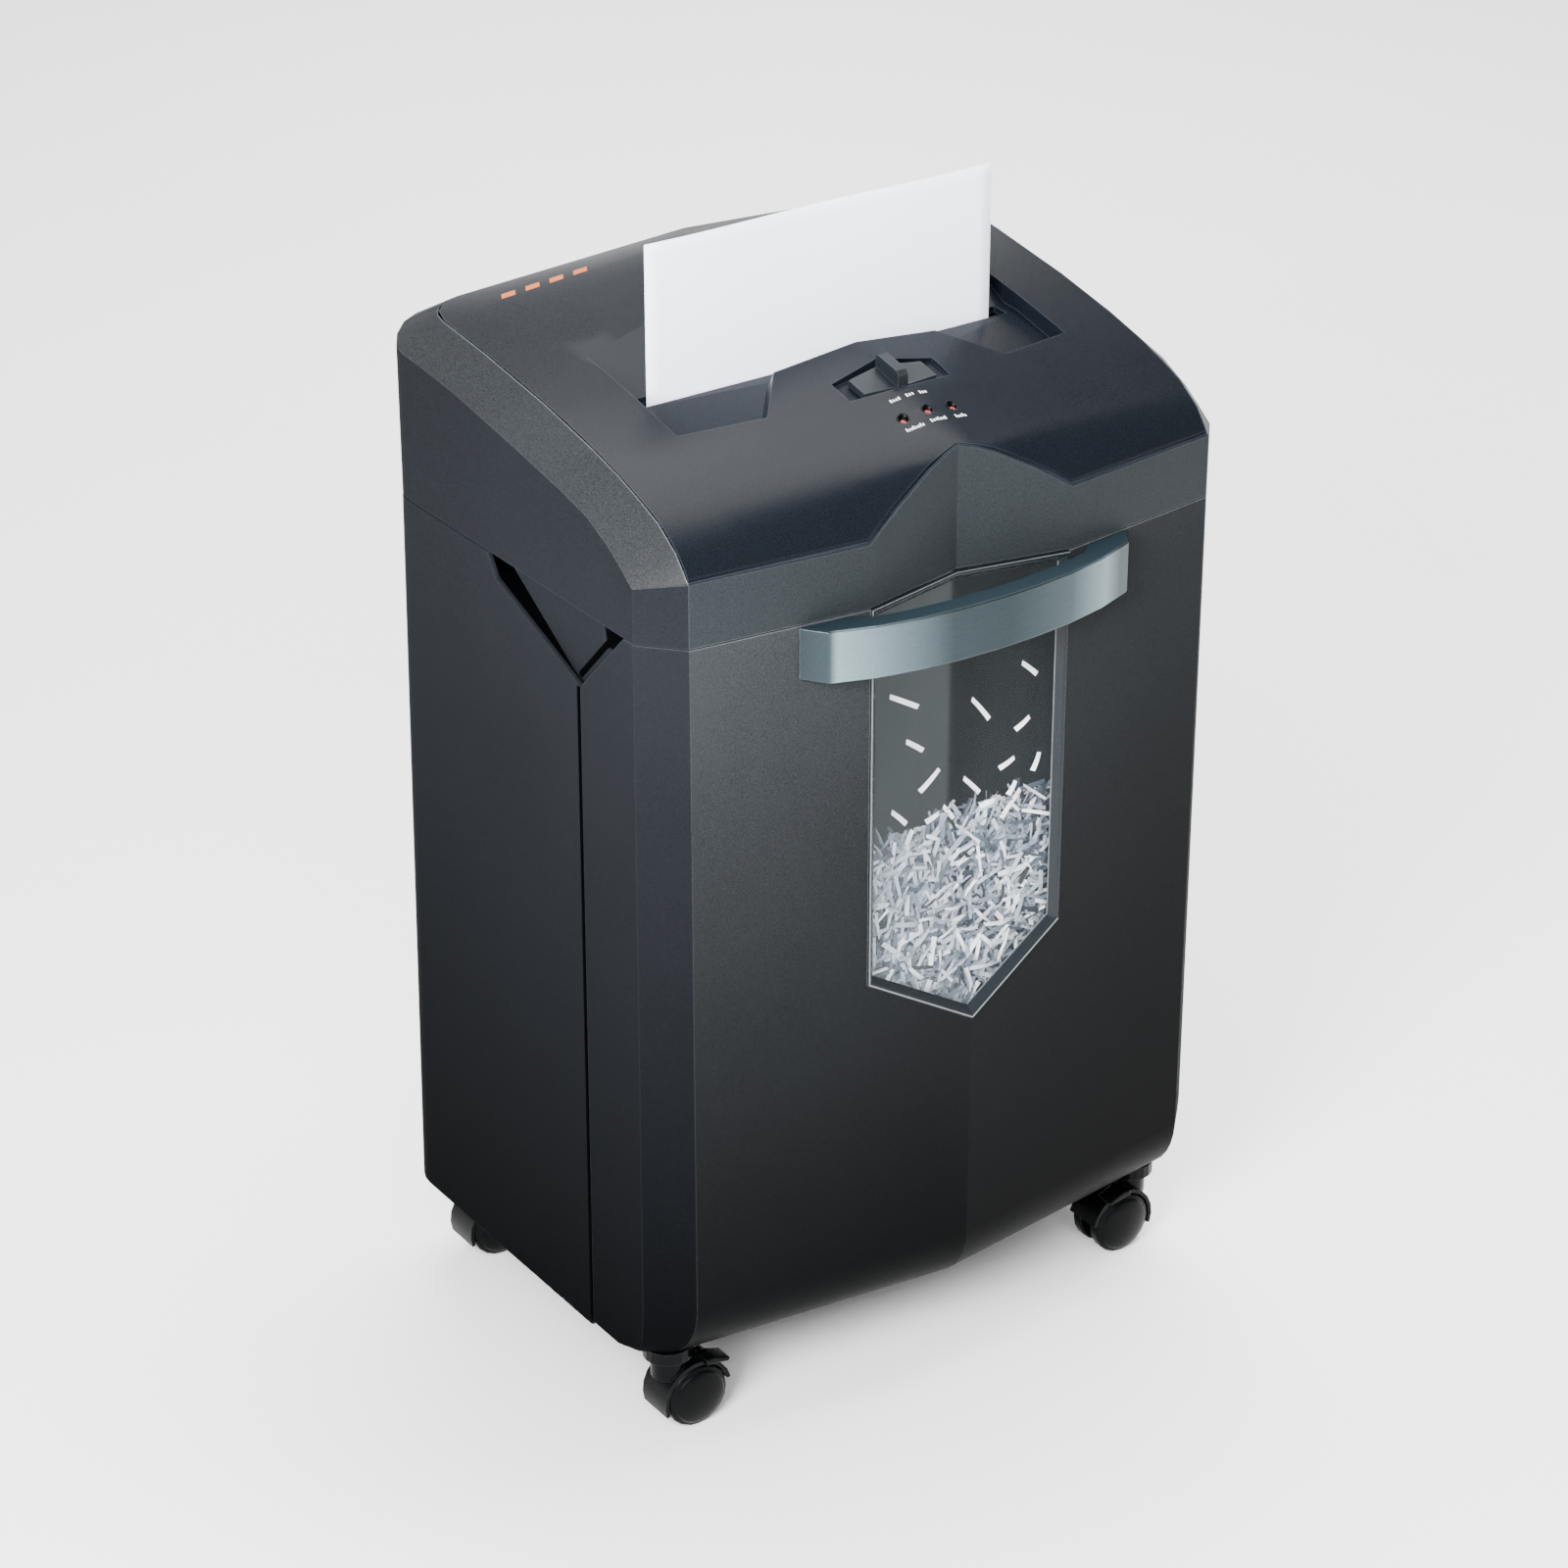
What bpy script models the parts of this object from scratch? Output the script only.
"""Pull-out-bin paper shredder: cabinet, bin with window and handle, head, cutting block, casters.

Lengths are in millimetres until a mesh is made, which turns them into metres. X is the width, Z is up.
Depth is measured from the line through the two front corners, growing to the rear, and is moved by
MIDDLE_DEPTH when a mesh is made, so that the origin is on the floor under the middle of the cabinet.
"""

import math

import bmesh
import bpy
from mathutils import Vector

MM = 0.001
GAP = 0.3
MIDDLE_DEPTH = 108.3

HALF_WIDTH = 173.0
CORNER_X = 155.0
CORNER_DEPTH = 20.0
FRONT_POINT = 18.8
REAR_DEPTH = 245.0
REAR_RADIUS = 20.0
WALL = 3.0

FLOOR_CLEARANCE = 49.0
BIN_CLEARANCE = 52.0
SEAM_Z = 456.0
BIN_SIDE_DEPTH = 67.0
BIN_BOTTOM_RADIUS = 36.0
SIDE_FLARE = 1.6
REAR_FLARE = 8.5

PANEL_HALF_WIDTH = 154.4
PANEL_REAR = 233.4
PANEL_THICKNESS = 2.4
ROOF_RISE = 11.5
PROFILE = (
    (0, 488.7), (5, 496.0), (9, 500.4), (18, 507.6), (28, 512.8), (38.5, 516.8), (56, 522.8), (71, 527.0),
    (100, 533.6), (120, 537.4), (152, 542.6), (180, 546.4), (212, 549.8), (240, 552.0), (262, 553.4),
)
SIDE_TOP = (
    (20, 484.0), (30, 491.5), (40, 498.2), (58, 506.8), (80, 512.0), (120, 519.5), (176, 529.0), (222, 533.8),
)
NOTCH_HALF = 60.5
NOTCH_DEPTH = 1.4

WINDOW_HALF = 59.6
WINDOW_SHOULDER_Z = 251.0
WINDOW_TIP_Z = 216.0
WINDOW_TOP_Z = 455.2

HANDLE_Z = (427.7, 455.2)

SLOT_HALF = 109.5
SLOT_DEPTH = (106.2, 116.2)
RECESS_HALF = 116.0

SWITCH_DEPTH = 55.0
LAMP_DEPTH = 26.0
LAMP_PITCH = 14.4

ROLLER_Z = 495.0
ROLLER_DEPTHS = (96.5, 126.5)
DISC_RADIUS = 18.0
CORE_RADIUS = 11.2
DISC_PITCH = 16.0
DISC_THICKNESS = 7.2
PLATE_X = 118.0

MOTOR_DEPTH = 190.0
MOTOR_Z = 489.0
MOTOR_RADIUS = 24.0
IDLER_DEPTH = 156.0
IDLER_Z = 489.0

CASTER_X = 151.5
CASTER_DEPTHS = (33.0, 225.5)
TRAIL = 11.5
WHEEL_RADIUS = 17.8
HOOD_RADII = (18.4, 20.4)


def clear_scene():
    for obj in list(bpy.data.objects):
        bpy.data.objects.remove(obj)


def material(name, colour, roughness, metallic=0.0, alpha=1.0):
    made = bpy.data.materials.new(name)
    made.use_nodes = True
    shader = made.node_tree.nodes["Principled BSDF"]
    shader.inputs["Base Color"].default_value = (*colour, 1.0)
    shader.inputs["Roughness"].default_value = roughness
    shader.inputs["Metallic"].default_value = metallic
    shader.inputs["Alpha"].default_value = alpha
    return made


def solid(name, points, faces, look, origin=(0.0, MIDDLE_DEPTH, 0.0)):
    """A mesh object from points in millimetres; its origin is at the given point."""
    mesh = bpy.data.meshes.new(name)
    base = Vector(origin)
    mesh.from_pydata([(Vector(p) - base) * MM for p in points], [], faces)
    shape = bmesh.new()
    shape.from_mesh(mesh)
    bmesh.ops.remove_doubles(shape, verts=shape.verts, dist=1e-6)
    bmesh.ops.recalc_face_normals(shape, faces=shape.faces)
    shape.to_mesh(mesh)
    shape.free()
    obj = bpy.data.objects.new(name, mesh)
    obj.location = (base - Vector((0.0, MIDDLE_DEPTH, 0.0))) * MM
    if look:
        obj.data.materials.append(look)
    bpy.context.scene.collection.objects.link(obj)
    return obj


def rings_to_faces(rings, count, around=True, closed=False):
    """Quads between consecutive rings of count points; closed joins the last ring to the first."""
    faces = []
    last = rings if closed else rings - 1
    for r in range(last):
        for k in range(count if around else count - 1):
            a = r * count + k
            b = r * count + (k + 1) % count
            c = ((r + 1) % rings) * count + (k + 1) % count
            d = ((r + 1) % rings) * count + k
            faces.append((a, b, c, d))
    return faces


def prism(outline, low, high, place):
    """Closed prism: outline of 2-D points, place(u, v, w) gives the 3-D point for w between low and high."""
    count = len(outline)
    points = [place(u, v, low) for u, v in outline] + [place(u, v, high) for u, v in outline]
    faces = [tuple(range(count)), tuple(range(count, 2 * count))]
    faces += rings_to_faces(2, count)
    return points, faces


def upright(u, v, w):
    return (u, v, w)


def across(u, v, w):
    return (w, u, v)


def along_depth(u, v, w):
    return (u, w, v)


def box(x, depth, z):
    outline = [(x[0], depth[0]), (x[1], depth[0]), (x[1], depth[1]), (x[0], depth[1])]
    return prism(outline, z[0], z[1], upright)


def circle(cu, cv, radius, steps, start=0.0):
    return [
        (cu + radius * math.cos(start + math.tau * k / steps),
         cv + radius * math.sin(start + math.tau * k / steps))
        for k in range(steps)
    ]


def lathe(profile, steps, place):
    """Closed turned solid: profile of (radius, distance) from axis to axis, or a closed loop off the axis."""
    points = []
    index = []
    for radius, along in profile:
        ring = []
        for k in range(steps):
            if radius == 0 and k:
                ring.append(ring[0])
                continue
            angle = math.tau * k / steps
            ring.append(len(points))
            points.append(place(radius * math.cos(angle), radius * math.sin(angle), along))
        index.append(ring)
    pairs = list(zip(index, index[1:]))
    if profile[0][0] > 0:
        pairs.append((index[-1], index[0]))
    faces = []
    for low, high in pairs:
        for k in range(steps):
            corners = [low[k], low[(k + 1) % steps], high[(k + 1) % steps], high[k]]
            face = tuple(dict.fromkeys(corners))
            if len(face) > 2:
                faces.append(face)
    return points, faces


def combine(obj, other, operation="DIFFERENCE"):
    modifier = obj.modifiers.new(operation.lower(), "BOOLEAN")
    modifier.operation = operation
    modifier.solver = "EXACT"
    modifier.object = other
    other.hide_render = True
    other.display_type = "WIRE"


def smooth_value(table, value):
    """Cubic curve through the table's points, straight beyond them."""
    if value <= table[0][0]:
        return table[0][1]
    for k in range(len(table) - 1):
        x0, y0 = table[k]
        x1, y1 = table[k + 1]
        if value > x1:
            continue
        before = table[max(k - 1, 0)]
        after = table[min(k + 2, len(table) - 1)]
        span = x1 - x0
        m0 = (y1 - before[1]) / (x1 - before[0]) * span
        m1 = (after[1] - y0) / (after[0] - x0) * span
        t = (value - x0) / span
        h00 = 2 * t ** 3 - 3 * t ** 2 + 1
        h10 = t ** 3 - 2 * t ** 2 + t
        h01 = -2 * t ** 3 + 3 * t ** 2
        h11 = t ** 3 - t ** 2
        return h00 * y0 + h10 * m0 + h01 * y1 + h11 * m1
    return table[-1][1]


def front_depth(x):
    """Depth of the pointed front at this distance from the middle, the corner chamfers included."""
    side = abs(x)
    if side <= CORNER_X:
        return -FRONT_POINT * (1 - side / CORNER_X)
    return CORNER_DEPTH * (side - CORNER_X) / (HALF_WIDTH - CORNER_X)


def notch_depth(x):
    return NOTCH_DEPTH + (front_depth(NOTCH_HALF) - NOTCH_DEPTH) * abs(x) / NOTCH_HALF


def top_z(x, depth):
    """Height of the head's top: a curve down to the front, with a low ridge along the middle."""
    share = max(0.0, 1 - abs(x) / CORNER_X)
    run = depth + FRONT_POINT * share
    ridge = ROOF_RISE * min(1.0, max(0.0, run / 15.0)) * min(1.0, (255.0 - depth) / 33.0)
    return smooth_value(PROFILE, run) + ridge * share


def mirrored(right):
    """A closed outline from the points of its right half, front to rear, both ends on the middle line."""
    left = [(-x, *rest) for x, *rest in reversed(right) if x > 0]
    return list(right) + left


def arc(cx, cy, radius, first, last, steps):
    return [
        (cx + radius * math.cos(a), cy + radius * math.sin(a))
        for a in (math.radians(first + (last - first) * k / steps) for k in range(steps + 1))
    ]


LOOKS = {
    "body": material("charcoal_plastic", (0.055, 0.062, 0.066), 0.55),
    "dark": material("black_plastic", (0.018, 0.019, 0.021), 0.45),
    "inner": material("grey_plastic", (0.30, 0.31, 0.32), 0.6),
    "clear": material("clear_plastic", (0.85, 0.88, 0.90), 0.08, alpha=0.25),
    "handle": material("gunmetal_lacquer", (0.30, 0.34, 0.36), 0.3, 0.8),
    "steel": material("bright_steel", (0.60, 0.60, 0.61), 0.3, 1.0),
    "zinc": material("zinc_plate", (0.45, 0.46, 0.47), 0.45, 1.0),
    "gear": material("white_acetal", (0.75, 0.75, 0.72), 0.5),
    "board": material("green_board", (0.03, 0.16, 0.07), 0.5),
    "lens": material("smoked_red_lens", (0.10, 0.012, 0.014), 0.15),
    "paper": material("white_paper", (0.85, 0.85, 0.88), 0.85),
}


def make(name, mesh, look, origin=(0.0, MIDDLE_DEPTH, 0.0)):
    return solid(name, mesh[0], mesh[1], LOOKS[look], origin)


def cutter(name, mesh):
    return solid(name, mesh[0], mesh[1], None)


def outline_shell(name, right_half, levels, look, closed):
    """A wall standing on a plan outline; levels gives (z, inset function) and WALL its thickness inward."""
    outline = mirrored(right_half) if closed else right_half
    count = len(outline)
    inward = []
    for k in range(count):
        before = Vector(outline[k - 1][:2]) if closed or k else Vector(outline[k][:2])
        here = Vector(outline[k][:2])
        after = Vector(outline[(k + 1) % count][:2]) if closed or k < count - 1 else here
        d1 = (here - before).normalized() if here != before else (after - here).normalized()
        d2 = (after - here).normalized() if here != after else d1
        n1 = Vector((-d1.y, d1.x))
        n2 = Vector((-d2.y, d2.x))
        inward.append((n1 + n2) / (1 + n1.dot(n2)))
    points = []
    for z, inset in levels:
        points += [inset(x, y, z) for x, y in outline]
    for z, inset in reversed(levels):
        for (x, y), n in zip(outline, inward):
            px, py, pz = inset(x, y, z)
            points.append((px + n.x * WALL, py + n.y * WALL, pz))
    faces = rings_to_faces(2 * len(levels), count, around=closed, closed=True)
    if not closed:
        rows = 2 * len(levels)
        faces.append(tuple(r * count for r in range(rows)))
        faces.append(tuple(r * count + count - 1 for r in range(rows)))
    return solid(name, points, faces, LOOKS[look])


def grip_cutter(name, corners):
    """A triangle-like cut through both side walls at the seam."""
    return cutter(name, prism(corners, -200.0, 200.0, across))


def flare(x, y, z):
    """The body widens a little towards the floor, most of all at the rear."""
    low = (SEAM_Z - z) / (SEAM_Z - FLOOR_CLEARANCE)
    if abs(x) > CORNER_X:
        x += math.copysign(SIDE_FLARE * low * (abs(x) - CORNER_X) / (HALF_WIDTH - CORNER_X), x)
    if y > BIN_SIDE_DEPTH + 2.0:
        y += REAR_FLARE * low * (y - BIN_SIDE_DEPTH) / (REAR_DEPTH - BIN_SIDE_DEPTH)
    return (x, y, z)


def make_cabinet():
    right = [(HALF_WIDTH, BIN_SIDE_DEPTH + 1.6), (HALF_WIDTH, 150.0)]
    right += arc(HALF_WIDTH - REAR_RADIUS, REAR_DEPTH - REAR_RADIUS, REAR_RADIUS, 0, 90, 6)
    outline = right + [(-x, y) for x, y in reversed(right)]
    stay = [(z, flare) for z in (FLOOR_CLEARANCE, SEAM_Z - 0.6)]
    shell = outline_shell("cabinet_shell", outline, stay, "body", closed=False)
    corners = [(27.0, 470.0), (66.8, 415.6), (142.6, 443.9), (150.2, 456.0), (152.0, 470.0)]
    combine(shell, grip_cutter("cut_grip_cabinet", corners))


def make_grip_plates():
    """Plates just inside the two hand grips at the seam, open to the inside along the lower rear edge."""
    plate = [(139.0, 455.8), (132.0, 451.0), (75.4, 415.0), (66.0, 408.0), (60.0, 408.0), (38.0, 441.6),
             (50.6, 441.6), (54.0, 455.8)]
    for tag, x in (("left", -168.4), ("right", 166.4)):
        make(f"grip_plate_{tag}", prism(plate, x, x + 2.0, across), "body")


def make_base_plate():
    side = HALF_WIDTH + SIDE_FLARE - WALL - GAP
    low_rear = REAR_DEPTH + REAR_FLARE
    right = [(0.0, 34.0), (130.0, 30.0), (150.0, 26.0), (162.0, 30.0), (side, 44.0)]
    right += [(side, low_rear - REAR_RADIUS)]
    right += arc(HALF_WIDTH - REAR_RADIUS, low_rear - REAR_RADIUS, REAR_RADIUS - WALL - GAP, 20, 90, 4)
    right += [(0.0, low_rear - WALL - GAP)]
    plate = make("base_plate", prism(mirrored(right), 49.2, 51.6, upright), "dark")
    for x in (-CASTER_X, CASTER_X):
        for depth in CASTER_DEPTHS:
            tag = f"{'l' if x < 0 else 'r'}{'f' if depth < 100 else 'b'}"
            boss = prism(circle(x, depth, 13.2, 20), 43.6, 50.4, upright)
            combine(plate, cutter(f"add_socket_{tag}", boss), "UNION")
            bore = prism(circle(x, depth, 5.3, 16), 40.0, 60.0, upright)
            combine(plate, cutter(f"cut_socket_{tag}", bore))


def bin_inset(drop):
    """Shift of the bin front's wall where its lower edge curves under, and its flare."""
    def shift(x, y, z):
        side = abs(x)
        sign = math.copysign(1.0, x)
        x, y, z = flare(x, y, z)
        if side <= CORNER_X:
            return (x + sign * 0.10 * drop * side / CORNER_X, y + drop, z)
        if y <= CORNER_DEPTH:
            return (x - sign * 0.22 * drop, y + 0.55 * drop, z)
        return (x, y, z)
    return shift


def make_bin_front():
    side = [(HALF_WIDTH, BIN_SIDE_DEPTH), (HALF_WIDTH, 44.0)]
    corner = [(HALF_WIDTH, CORNER_DEPTH), (CORNER_X, 0.0), (NOTCH_HALF, front_depth(NOTCH_HALF))]
    left = [(-x, y) for x, y in side + corner]
    outline = left + [(0.0, -FRONT_POINT)] + [(x, y) for x, y in reversed(side + corner)]
    levels = []
    for degrees in (66, 56, 45, 34, 23, 12, 0):
        angle = math.radians(degrees)
        drop = BIN_BOTTOM_RADIUS * (1 - math.cos(angle))
        z = BIN_CLEARANCE + BIN_BOTTOM_RADIUS * (1 - math.sin(angle)) - 3.0 * drop / 21.4
        levels.append((z, bin_inset(drop)))
    levels.append((SEAM_Z - 0.6, bin_inset(0.0)))
    front = outline_shell("bin_front", outline, levels, "body", closed=False)
    window = [
        (-WINDOW_HALF, 480.0), (-WINDOW_HALF, WINDOW_SHOULDER_Z), (0.0, WINDOW_TIP_Z),
        (WINDOW_HALF, WINDOW_SHOULDER_Z), (WINDOW_HALF, 480.0),
    ]
    combine(front, cutter("cut_window", prism(window, -40.0, 20.0, along_depth)))
    corners = [(27.9, 456.2), (26.0, 470.0), (90.0, 470.0), (90.0, 398.0), (66.8, 415.6)]
    combine(front, grip_cutter("cut_grip_bin", corners))


def make_bin_tub():
    low = 58.0
    high = 400.0
    half = 166.4
    rear = 232.0
    thick = 2.4
    cut = 13.0
    outline = [(0.0, 1.0), (140.0, 17.0), (157.0, 30.0), (half, 30.0), (half, rear - cut), (half - cut, rear)]
    outline = mirrored(outline)
    tub = make("bin_tub", prism(outline, low, high, upright), "inner")
    inside = half - thick
    room = mirrored([(inside, -40.0), (inside, rear - cut - 1.0), (inside - cut + 1.0, rear - thick)])
    combine(tub, cutter("cut_tub_room", prism(room, low + thick, high + 20.0, upright)))


def window_ring(inset, proud, side_depth=None, middle=None):
    """Six corners of the window frame, moved inward by inset; proud is the distance in front of the panel."""
    half = WINDOW_HALF - inset
    top = WINDOW_TOP_Z - inset
    shoulder = WINDOW_SHOULDER_Z + 0.55 * inset
    tip = WINDOW_TIP_Z + 1.15 * inset
    edge = front_depth(WINDOW_HALF) - proud if side_depth is None else side_depth
    crease = NOTCH_DEPTH - 0.8 - proud if middle is None else middle[0]
    point = -FRONT_POINT - proud if middle is None else middle[1]
    return [
        (-half, edge, top), (0.0, crease, top), (half, edge, top),
        (half, edge, shoulder), (0.0, point, tip), (-half, edge, shoulder),
    ]


def make_window():
    rings = [
        window_ring(GAP, 0.7),
        window_ring(1.8, 0.7),
        window_ring(5.2, 0.0, -8.6, (2.2, -14.6)),
        window_ring(GAP, 0.0, -8.2, (2.7, -14.2)),
    ]
    faces = rings_to_faces(4, 6, closed=True)
    make("window_bezel", ([p for ring in rings for p in ring], faces), "dark")
    outer = window_ring(1.4, 0.0, -7.8, (3.1, -13.8))
    middle = [(0.0, 3.4, 330.0), (0.0, -4.4, 262.0)]
    front = outer + middle
    back = [(x, y + 2.0, z) for x, y, z in front]
    left = [(0, 1, 6), (0, 6, 5), (5, 6, 7), (5, 7, 4)]
    right = [(2, 6, 1), (3, 6, 2), (3, 7, 6), (4, 7, 3)]
    sheet = left + right
    faces = sheet + [tuple(8 + k for k in reversed(face)) for face in sheet]
    rim = [0, 1, 2, 3, 4, 5]
    faces += [(a, b, b + 8, a + 8) for a, b in zip(rim, rim[1:] + rim[:1])]
    make("bin_window", (front + back, faces), "clear")


def make_handle():
    outer = [(0.0, -35.4), (22.0, -34.7), (45.0, -32.2), (68.0, -27.4), (90.0, -19.6), (99.0, -7.3)]
    inner = [(72.0, -10.6), (64.0, -16.6), (45.0, -20.6), (22.0, -23.0), (0.0, -23.8)]
    outline = mirrored(outer + inner)
    bar = make("bin_handle", prism(outline, *HANDLE_Z, upright), "handle")
    edge = bar.modifiers.new("edge", "BEVEL")
    edge.width = 0.7 * MM
    edge.segments = 1
    edge.limit_method = "ANGLE"
    for tag, x in (("left", -84.0), ("right", 84.0)):
        z = sum(HANDLE_Z) / 2

        def stand(u, v, w, x=x, z=z):
            return (x + u, w, z + v)

        hole = [(0, -16.0), (2.4, -16.0), (2.4, 20.0), (0, 20.0)]
        combine(bar, cutter(f"cut_handle_{tag}", lathe(hole, 12, stand)))
        combine(bpy.data.objects["bin_front"], cutter(f"cut_front_{tag}", lathe(hole, 12, stand)))
        screw = [(0, -15.5), (2.0, -15.5), (2.0, 1.0), (4.5, 1.0), (4.5, 3.4), (0, 3.4)]
        lower = [(r, a + (0.0 if a < 0 else front_depth(84.0) + WALL + 0.6)) for r, a in screw]
        make(f"handle_screw_{tag}", lathe(lower, 12, stand), "steel")


def make_heap():
    side = [(14.0, 61.2), (9.0, 88.0), (9.0, 321.0), (21.0, 320.0), (95.0, 267.0), (216.0, 184.0), (216.0, 61.2)]
    heap = make("shredded_paper", prism(side, -150.0, 150.0, across), "paper")
    under = [(18.5, 57.0), (13.5, 88.0), (13.5, 316.5), (20.0, 315.4), (92.0, 264.0), (211.5, 181.6),
             (211.5, 57.0)]
    combine(heap, cutter("cut_heap", prism(under, -145.5, 145.5, across)))


def head_stations():
    """Right half of the head's outline: (x, depth, wall top, inner x, inner depth) from the middle front."""
    rows = []
    for x in (0.0, 10.0, 20.0, 30.0, 40.0, 50.0, NOTCH_HALF):
        depth = notch_depth(x)
        rows.append((x, depth, top_z(x, depth), x, depth + 1.0))
    for x in (90.0, 122.0, CORNER_X):
        depth = front_depth(x)
        rows.append((x, depth, top_z(x, depth), min(x, 154.6), depth + 1.0))
    inner = CORNER_X
    for depth, back in ((20.0, 10.0), (30.0, 24.0), (40.0, 38.0), (58.0, 57.0), (80.0, 80.0), (120.0, 120.0),
                        (176.0, 174.0), (205.0, 200.0), (REAR_DEPTH - REAR_RADIUS, 214.0)):
        rows.append((HALF_WIDTH, depth, smooth_value(SIDE_TOP, depth), inner, back))
    outer_arc = arc(HALF_WIDTH - REAR_RADIUS, REAR_DEPTH - REAR_RADIUS, REAR_RADIUS, 22.5, 90, 3)
    inner_arc = arc(135.0, 214.0, 20.0, 22.5, 90, 3)
    for (x, depth), (ix, idepth), z in zip(outer_arc, inner_arc, (535.4, 538.4, 541.8, 544.0)):
        rows.append((x, depth, z, ix, idepth))
    for x in (100.0, 50.0, 0.0):
        rows.append((x, REAR_DEPTH, top_z(x, 234.0) - 8.5, x * 0.9, 234.0))
    return rows


def make_head_shell():
    right = head_stations()
    rows = right + [(-x, y, z, -ix, iy) for x, y, z, ix, iy in reversed(right) if x > 0]
    count = len(rows)
    rings = [[] for _ in range(6)]
    for k, (x, depth, wall_top, ix, idepth) in enumerate(rows):
        here = Vector((x, depth))
        before = Vector(rows[k - 1][:2])
        after = Vector(rows[(k + 1) % count][:2])
        d1 = (here - before).normalized()
        d2 = (after - here).normalized()
        n1 = Vector((-d1.y, d1.x))
        n2 = Vector((-d2.y, d2.x))
        n = (n1 + n2) / (1 + n1.dot(n2))
        inner_z = top_z(ix, idepth) if abs(ix - x) + abs(idepth - depth) > 1.5 else wall_top + 0.9
        inside = here + n * 2.8
        rings[0].append((x, depth, SEAM_Z))
        rings[1].append((x, depth, wall_top))
        rings[2].append((ix, idepth, inner_z))
        rings[3].append((ix, idepth, inner_z - 2.6))
        rings[4].append((inside.x, inside.y, wall_top - 3.6))
        rings[5].append((inside.x, inside.y, SEAM_Z))
    points = [p for ring in rings for p in ring]
    shell = make("head_shell", (points, rings_to_faces(6, count, closed=True)), "body")
    hole = prism(circle(120.0, 482.0, 8.3, 16), 225.0, 260.0, along_depth)
    combine(shell, cutter("cut_inlet", hole))


def panel_rear(x):
    side = abs(x)
    if side <= 135.0:
        return PANEL_REAR
    return 214.0 + math.sqrt(max(0.0, 19.4 ** 2 - (side - 135.0) ** 2))


def panel_front(x):
    if abs(x) < NOTCH_HALF:
        return notch_depth(x) + 1.7
    return front_depth(x) + 1.6


def recess_cavity():
    """The feed recess: pockets each side of the console, a floor down to the slot, a slope behind it."""
    half = RECESS_HALF
    level = top_z(half, 145.6) + 0.1
    rim = [
        (-half, 145.6, level), (-half, 116.4, 530.6), (-half, 106.6, 530.0), (-half, 67.6, 522.6),
        (-71.0, 57.6, 524.0), (-48.0, 85.0, 530.0), (48.0, 85.0, 530.0), (71.0, 57.6, 524.0),
        (half, 67.6, 522.6), (half, 106.6, 530.0), (half, 116.4, 530.6), (half, 145.6, level),
        (0.0, 171.0, top_z(0.0, 171.0) + 0.1),
    ]
    shift = {3: (1.5, 1.0), 4: (-3.5, 1.5), 5: (-3.5, 2.5), 6: (3.5, 2.5), 7: (3.5, 1.5), 8: (-1.5, 1.0)}
    floor = [(x + shift.get(k, (0, 0))[0], y + shift.get(k, (0, 0))[1], z) for k, (x, y, z) in enumerate(rim)]
    surface = [(x, y, top_z(x, y) + 0.5) for x, y, _ in rim]
    roof = [(x, y, 600.0) for x, y, _ in rim]
    count = len(rim)
    points = roof + surface + floor
    base = 2 * count
    faces = [tuple(range(count))]
    faces += rings_to_faces(3, count)
    faces += [
        (base + 0, base + 1, base + 10, base + 11), (base + 0, base + 11, base + 12),
        (base + 1, base + 2, base + 9, base + 10),
        (base + 2, base + 3, base + 4), (base + 2, base + 4, base + 5),
        (base + 2, base + 5, base + 6, base + 9),
        (base + 9, base + 6, base + 7), (base + 9, base + 7, base + 8),
    ]
    return points, faces


PANEL_UNDER = (
    (38.0, 512.0), (57.0, 519.0), (72.0, 519.8), (90.0, 524.0), (107.0, 526.6), (116.0, 527.2), (146.0, 540.2),
    (164.0, 547.4), (178.0, 551.0),
)


def panel_under(x, depth):
    """Height of the panel's underside, below the recess and the switch well."""
    z = top_z(x, depth) - PANEL_THICKNESS
    if abs(x) > 122.0 or not 42.0 <= depth <= 179.0:
        return z
    if abs(x) <= 50.0 and depth <= 73.0:
        return min(z, 527.0)
    return min(z, smooth_value(PANEL_UNDER, depth))


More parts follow.
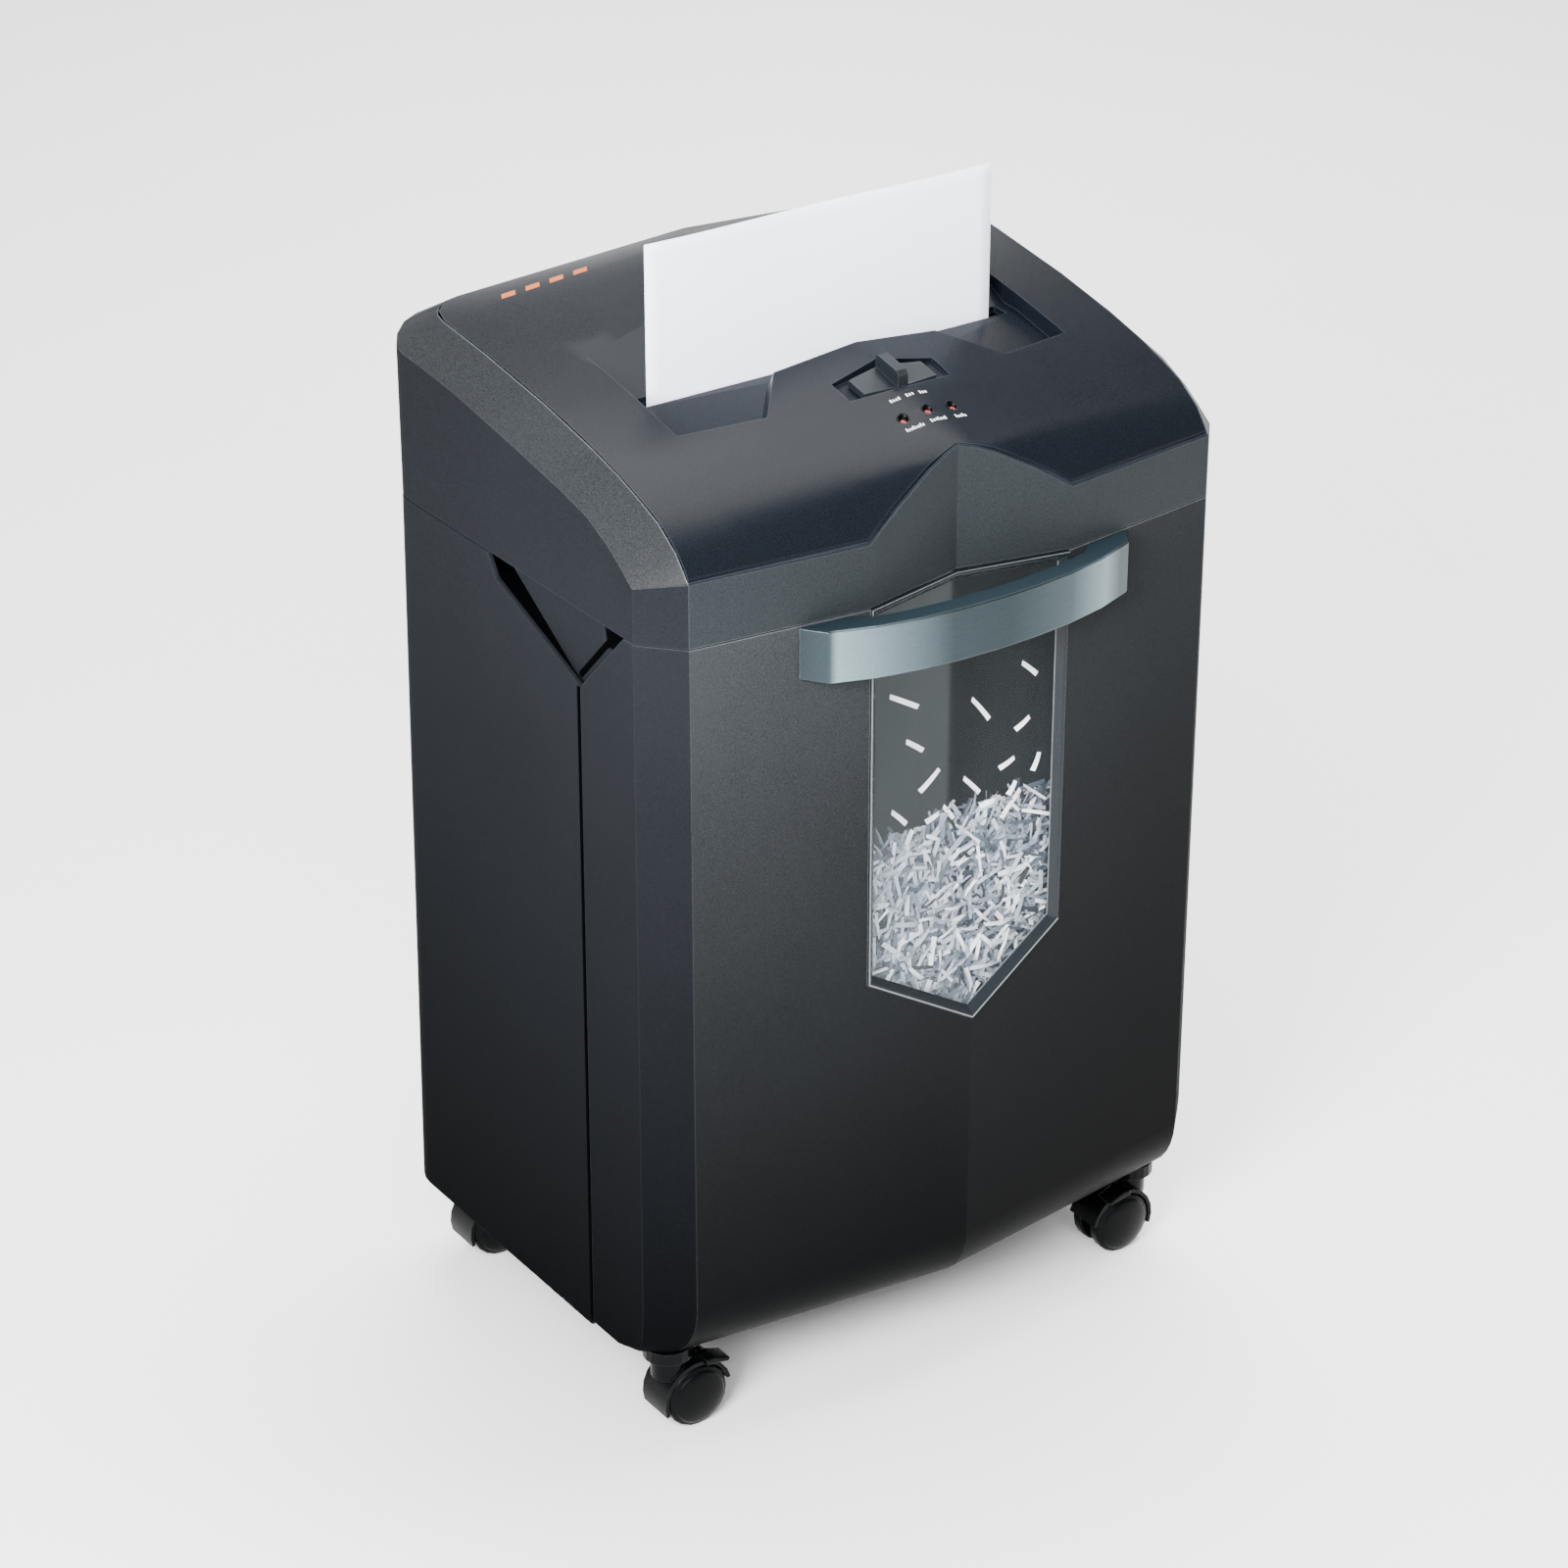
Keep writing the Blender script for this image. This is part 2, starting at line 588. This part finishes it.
def make_top_panel():
    columns = [0.0, 10.0, 20.0, 30.0, 40.0, 50.0, 60.5, 72.0, 90.0, 110.0, 122.0, 127.0, 135.0, 145.0, 151.0]
    columns += [PANEL_HALF_WIDTH]
    columns = [-x for x in reversed(columns[1:])] + columns
    early = (0.0, 3.2, 7.5, 13.0, 20.0, 28.0)
    later = (38.0, 43.0, 57.0, 72.0, 90.0, 107.0, 116.0, 131.0, 146.0, 164.0, 178.0, 183.0, 200.0)
    rows = []
    for step in early:
        rows.append([(x, panel_front(x) + step * (38.0 - panel_front(x)) / 38.0) for x in columns])
    for depth in later:
        rows.append([(x, depth) for x in columns])
    for share in (0.4, 0.75, 1.0):
        rows.append([(x, 200.0 + share * (panel_rear(x) - 200.0)) for x in columns])
    count = len(columns)
    top = []
    under = []
    for row in rows:
        for x, depth in row:
            top.append((x, depth, top_z(x, depth)))
            under.append((x, depth, panel_under(x, depth)))
    faces = []
    size = len(top)
    for r in range(len(rows) - 1):
        for k in range(count - 1):
            a = r * count + k
            face = (a, a + 1, a + count + 1, a + count)
            if columns[k] < 0:
                face = face[1:] + face[:1]
            faces += [face, tuple(size + v for v in reversed(face))]
    edge = [k for k in range(count)]
    edge += [r * count + count - 1 for r in range(1, len(rows))]
    edge += [(len(rows) - 1) * count + k for k in range(count - 2, -1, -1)]
    edge += [r * count for r in range(len(rows) - 2, 0, -1)]
    faces += [(a, b, b + size, a + size) for a, b in zip(edge, edge[1:] + edge[:1])]
    panel = make("top_panel", (top + under, faces), "body")
    combine(panel, cutter("cut_recess", recess_cavity()))
    combine(panel, cutter("cut_slot", box((-SLOT_HALF, SLOT_HALF), SLOT_DEPTH, (510.0, 560.0))))
    well = [(-30.0, 8.0), (-30.0, -7.0), (0.0, -10.8), (30.0, -7.0), (30.0, 8.0), (0.0, 13.6)]
    points = [(x, SWITCH_DEPTH + y, 600.0) for x, y in well]
    points += [(x, SWITCH_DEPTH + y, well_floor(SWITCH_DEPTH + y)) for x, y in well]
    faces = [tuple(range(6)), tuple(range(6, 12))] + rings_to_faces(2, 6)
    combine(panel, cutter("cut_switch_well", (points, faces)))
    for k, x in enumerate((-LAMP_PITCH, 0.0, LAMP_PITCH)):
        combine(panel, cutter(f"cut_lamp_{k}", prism(circle(x, LAMP_DEPTH, 2.7, 14), 505.0, 560.0, upright)))
        z = top_z(x, LAMP_DEPTH)

        def stand(u, v, w, x=x):
            return (x + u, LAMP_DEPTH + v, w)

        lens = [(0, z - 9.0), (3.4, z - 9.0), (3.4, z - 4.4), (2.3, z - 4.4), (2.3, z - 1.6),
                (1.3, z - 0.8), (0, z - 0.5)]
        make(f"lamp_{k + 1}", lathe(lens, 14, stand), "lens")


def well_floor(depth):
    return 534.0 + 0.22 * (depth - SWITCH_DEPTH)


def make_mode_switch():
    outline = [(-21.5, 5.6), (-21.5, -7.1), (0.0, -9.7), (21.5, -7.1), (21.5, 5.6), (0.0, 9.6)]
    outline = [(x, SWITCH_DEPTH + y) for x, y in outline]
    points = [(x, y, well_floor(y) + 0.4) for x, y in outline]
    points += [(x, y, well_floor(y) + 3.6 + 0.9 * (1 - abs(x) / 21.5)) for x, y in outline]
    faces = [tuple(range(6)), tuple(range(6, 12))] + rings_to_faces(2, 6)
    origin = (0.0, SWITCH_DEPTH, well_floor(SWITCH_DEPTH) + 1.6)
    plate = make("mode_switch", (points, faces), "dark", origin)
    ridge = [(-9.4, 1.0), (-9.4, 9.6), (-7.4, 11.4), (7.4, 11.4), (9.4, 9.6), (9.4, 1.0)]
    lifted = [(SWITCH_DEPTH + y, z + well_floor(SWITCH_DEPTH + y)) for y, z in ridge]
    combine(plate, cutter("add_ridge", prism(lifted, -2.9, 2.9, across)), "UNION")


def make_head_base():
    right = [(0.0, notch_depth(0.0) + 3.4), (59.6, front_depth(NOTCH_HALF) + 3.6), (153.4, 3.6), (169.6, 21.4),
             (169.6, 222.0), (166.0, 232.0), (150.0, 238.6), (0.0, 238.6)]
    tray = make("head_base", prism(mirrored(right), 456.2, 459.2, upright), "dark")
    combine(tray, cutter("cut_discharge", box((-112.0, 112.0), (84.0, 139.0), (440.0, 470.0))))


def make_feed_guide():
    guide = make("feed_guide", box((-115.0, 115.0), (102.2, 120.2), (514.0, 525.8)), "inner")
    combine(guide, cutter("cut_guide", box((-SLOT_HALF, SLOT_HALF), SLOT_DEPTH, (500.0, 530.0))))


def gear_outline(cu, cv, radius, teeth, depth):
    points = []
    for k in range(teeth):
        for share, r in ((0.0, radius - depth), (0.25, radius - depth), (0.4, radius), (0.7, radius)):
            angle = math.tau * (k + share) / teeth
            points.append((cu + r * math.cos(angle), cv + r * math.sin(angle)))
    return points


def make_cutting_block():
    for tag, x in (("left", -PLATE_X - 3.0), ("right", PLATE_X)):
        outline = [(76.0, 459.6), (147.0, 459.6), (172.0, 466.0), (172.0, 500.0), (147.0, 512.0), (76.0, 512.0)]
        side = make(f"side_plate_{tag}", prism(outline, x, x + 3.0, across), "zinc")
        for k, depth in enumerate(ROLLER_DEPTHS):
            hole = prism(circle(depth, ROLLER_Z, 6.3, 16), x - 1.0, x + 4.0, across)
            combine(side, cutter(f"cut_shaft_{tag}_{k}", hole))
    for k, depth in enumerate(ROLLER_DEPTHS):
        def turn(u, v, w, depth=depth):
            return (w, depth + u, ROLLER_Z + v)

        start = -104.0 + (DISC_PITCH / 2 if k else 0.0)
        discs = 13 if k else 14
        profile = [(0, -126.0), (6.0, -126.0), (6.0, -117.4), (CORE_RADIUS, -117.4)]
        for n in range(discs):
            middle = start + n * DISC_PITCH
            low = middle - DISC_THICKNESS / 2
            high = middle + DISC_THICKNESS / 2
            profile += [(CORE_RADIUS, low), (DISC_RADIUS, low), (DISC_RADIUS, high), (CORE_RADIUS, high)]
        profile += [(CORE_RADIUS, 117.4), (6.0, 117.4), (6.0, 138.6), (0, 138.6)]
        name = "cutter_rear" if k else "cutter_front"
        make(name, lathe(profile, 14, turn), "steel", (0.0, depth, ROLLER_Z))
        teeth = gear_outline(depth, ROLLER_Z, 14.7, 14, 2.2)
        outer = 131.4 if k else 130.0
        wheel = make("gear_" + name[7:], prism(teeth, 122.0, outer, across), "gear", (126.0, depth, ROLLER_Z))
        bore = prism(circle(depth, ROLLER_Z, 6.05, 14), 120.0, 150.0, across)
        if k:
            ring = prism(gear_outline(depth, ROLLER_Z, 20.6, 22, 2.2), 130.6, 137.0, across)
            combine(wheel, cutter("add_driven_gear", ring), "UNION")
        combine(wheel, cutter(f"cut_gear_{k}", bore))
    for tag, depth, z in (("front", 80.5, 467.0), ("rear", 143.0, 467.0)):
        outline = circle(depth, z, 3.5, 12)
        make(f"tie_rod_{tag}", prism(outline, -PLATE_X + GAP, PLATE_X - GAP, across), "steel")
    for tag, low, high in (("front", 72.0, 77.4), ("rear", 145.8, 151.0)):
        comb = [(low, 478.0), (high, 478.0), (high, 506.0), (low, 506.0)]
        make(f"stripper_{tag}", prism(comb, -PLATE_X + GAP, PLATE_X - GAP, across), "zinc")


def make_drive():
    def turn(u, v, w):
        return (w, MOTOR_DEPTH + u, MOTOR_Z + v)

    can = [(0, 12.0), (MOTOR_RADIUS - 2, 12.0), (MOTOR_RADIUS, 14.0), (MOTOR_RADIUS, 104.0),
           (MOTOR_RADIUS - 2, 106.0), (9.0, 106.0), (9.0, 110.0), (3.4, 110.0), (3.4, 60.0), (0, 60.0)]
    make("motor_body", lathe(can, 20, turn), "zinc")
    shaft = [(0, 60.6), (3.0, 60.6), (3.0, 137.0), (5.0, 137.0), (5.0, 145.6), (0, 145.6)]
    pinion = make("motor_pinion", lathe(shaft, 14, turn), "steel", (100.0, MOTOR_DEPTH, MOTOR_Z))
    teeth = gear_outline(MOTOR_DEPTH, MOTOR_Z, 7.4, 8, 1.8)
    combine(pinion, cutter("add_pinion", prism(teeth, 138.4, 144.6, across)), "UNION")
    foot = [(160.0, 459.6), (220.0, 459.6), (220.0, 464.4), (203.0, 464.4), (203.0, 467.2), (177.0, 467.2),
            (177.0, 464.4), (160.0, 464.4)]
    cradle = make("motor_bracket", prism(foot, 20.0, 98.0, across), "zinc")
    room = prism(circle(MOTOR_DEPTH, MOTOR_Z, MOTOR_RADIUS + GAP, 20), 10.0, 108.0, across)
    combine(cradle, cutter("cut_cradle", room))

    def idle(u, v, w):
        return (w, IDLER_DEPTH + u, IDLER_Z + v)

    big = gear_outline(IDLER_DEPTH, IDLER_Z, 26.2, 28, 2.0)
    wheel = make("idler_gear", prism(big, 139.0, 144.0, across), "gear", (136.0, IDLER_DEPTH, IDLER_Z))
    small = gear_outline(IDLER_DEPTH, IDLER_Z, 9.3, 10, 1.8)
    combine(wheel, cutter("add_idler_small", prism(small, 130.6, 140.0, across)), "UNION")
    combine(wheel, cutter("cut_idler", prism(circle(IDLER_DEPTH, IDLER_Z, 3.3, 12), 120.0, 150.0, across)))
    pin = [(0, 121.4), (3.0, 121.4), (3.0, 144.6), (5.0, 144.6), (5.0, 146.4), (0, 146.4)]
    make("idler_pin", lathe(pin, 12, idle), "steel")


def make_electrics():
    board = make("control_board", box((-150.0, -30.0), (176.0, 226.0), (466.0, 467.8)), "board")
    parts = ((-130.0, 192.0, 16.0, 20.0), (-95.0, 204.0, 22.0, 14.0), (-60.0, 190.0, 14.0, 26.0))
    for k, (x, depth, size, high) in enumerate(parts):
        part = box((x - size / 2, x + size / 2), (depth - size / 2, depth + size / 2), (467.0, 467.0 + high))
        combine(board, cutter(f"add_part_{k}", part), "UNION")
    for k, (x, depth) in enumerate(((-145.0, 181.0), (-35.0, 221.0))):
        leg = prism(circle(x, depth, 3.0, 10), 459.6, 466.5, upright)
        combine(board, cutter(f"add_leg_{k}", leg), "UNION")
    make("interlock_switch", box((134.0, 154.0), (40.0, 50.0), (459.6, 478.0)), "dark")

    def out(u, v, w):
        return (120.0 + u, w, 482.0 + v)

    gland = [(0, 235.0), (8.0, 235.0), (8.0, 245.4), (12.0, 245.4), (12.0, 248.0), (8.0, 251.0), (6.0, 255.0),
             (4.0, 255.0), (4.0, 241.0), (0, 241.0)]
    make("cord_gland", lathe(gland, 16, out), "dark")


def make_sheet():
    outline = [(-103.4, 517.0), (102.6, 517.0), (102.6, 609.0), (-103.4, 609.0)]
    make("paper_sheet", prism(outline, 112.2, 112.8, along_depth), "paper", (0.0, 112.5, 517.0))


def make_caster(tag, x, depth, brake):
    inboard = -math.copysign(1.0, x)
    axle_x = x + inboard * TRAIL

    def disc(u, v, w):
        return (axle_x + u, depth + w, WHEEL_RADIUS + v)

    def standing(u, v, w):
        return (x + u, depth + v, w)

    def wheel_front(u, v, w):
        return disc(u, v, -w)

    stem = [(0, 35.6), (4.9, 35.6), (4.9, 41.6), (8.4, 41.6), (8.4, 43.2), (4.9, 43.2), (4.9, 51.4), (0, 51.4)]
    make(f"caster_stem_{tag}", lathe(stem, 14, standing), "steel")

    pivot = (x, depth, 40.0)
    shell = []
    for radius, angles in ((HOOD_RADII[1], range(12, 200, 17)), (HOOD_RADII[0], range(199, 11, -17))):
        for degrees in angles:
            a = math.radians(degrees)
            shell.append((axle_x + inboard * radius * math.cos(a), WHEEL_RADIUS + radius * math.sin(a)))
    hood = make(f"caster_hood_{tag}", prism(shell, depth - 10.8, depth + 10.8, along_depth), "dark", pivot)
    web = []
    for degrees in range(12, 200, 17):
        a = math.radians(degrees)
        web.append((axle_x + inboard * 19.5 * math.cos(a), WHEEL_RADIUS + 19.5 * math.sin(a)))
    web.append((axle_x - inboard * 2.0, WHEEL_RADIUS - 6.5))
    web.append((axle_x + inboard * 6.0, WHEEL_RADIUS - 5.0))
    combine(hood, cutter(f"add_web_{tag}", prism(web, depth - 3.3, depth + 3.3, along_depth)), "UNION")
    combine(hood, cutter(f"add_neck_{tag}", prism(circle(x, depth, 9.2, 18), 31.0, 41.2, upright)), "UNION")
    combine(hood, cutter(f"cut_neck_{tag}", prism(circle(x, depth, 5.2, 14), 35.3, 50.0, upright)))
    clear = [(0, 3.7), (WHEEL_RADIUS + 0.5, 3.7), (WHEEL_RADIUS + 0.5, 20.0), (0, 20.0)]
    combine(hood, cutter(f"cut_side_a_{tag}", lathe(clear, 24, disc)))
    combine(hood, cutter(f"cut_side_b_{tag}", lathe(clear, 24, wheel_front)))
    axle = [(0, -9.4), (2.4, -9.4), (2.4, 9.4), (0, 9.4)]
    combine(hood, cutter(f"add_axle_{tag}", lathe(axle, 12, disc)), "UNION")

    wheel = [(0, 15.0), (6.0, 14.7), (11.0, 13.8), (14.6, 12.4), (15.2, 11.4), (16.8, 11.0), (17.8, 9.8),
             (17.8, 5.0), (17.0, 4.2), (2.7, 4.2), (2.7, 9.9), (0, 9.9)]
    hub = (axle_x, depth, WHEEL_RADIUS)
    make(f"caster_wheel_a_{tag}", lathe(wheel, 20, wheel_front), "dark", hub)
    make(f"caster_wheel_b_{tag}", lathe(wheel, 20, disc), "dark", hub)

    if brake:
        pin_x = axle_x + inboard * 3.0
        pin_z = 41.2
        ear = [(pin_x - 2.0, 36.6), (pin_x + 2.0, 36.6), (pin_x + 2.0, 43.0), (pin_x - 2.0, 43.0)]
        combine(hood, cutter(f"add_ear_{tag}", prism(ear, depth - 6.4, depth - 3.6, along_depth)), "UNION")
        pad = [(-2.2, -1.6), (2.4, -1.8), (11.4, -3.6), (12.4, -1.6), (3.0, 1.9), (-2.2, 1.9)]
        outline = [(pin_x + inboard * u, pin_z + v) for u, v in pad]
        make(f"caster_brake_{tag}", prism(outline, depth - 17.6, depth - 6.8, along_depth), "dark",
             (pin_x, depth, pin_z))


clear_scene()
make_cabinet()
make_grip_plates()
make_base_plate()
make_bin_front()
make_bin_tub()
make_window()
make_handle()
make_heap()
make_head_shell()
make_top_panel()
make_mode_switch()
make_head_base()
make_feed_guide()
make_cutting_block()
make_drive()
make_electrics()
make_sheet()
for caster_x in (-CASTER_X, CASTER_X):
    for caster_depth in CASTER_DEPTHS:
        front = caster_depth < MIDDLE_DEPTH
        caster_tag = ("front" if front else "rear") + ("_left" if caster_x < 0 else "_right")
        make_caster(caster_tag, caster_x, caster_depth, front)
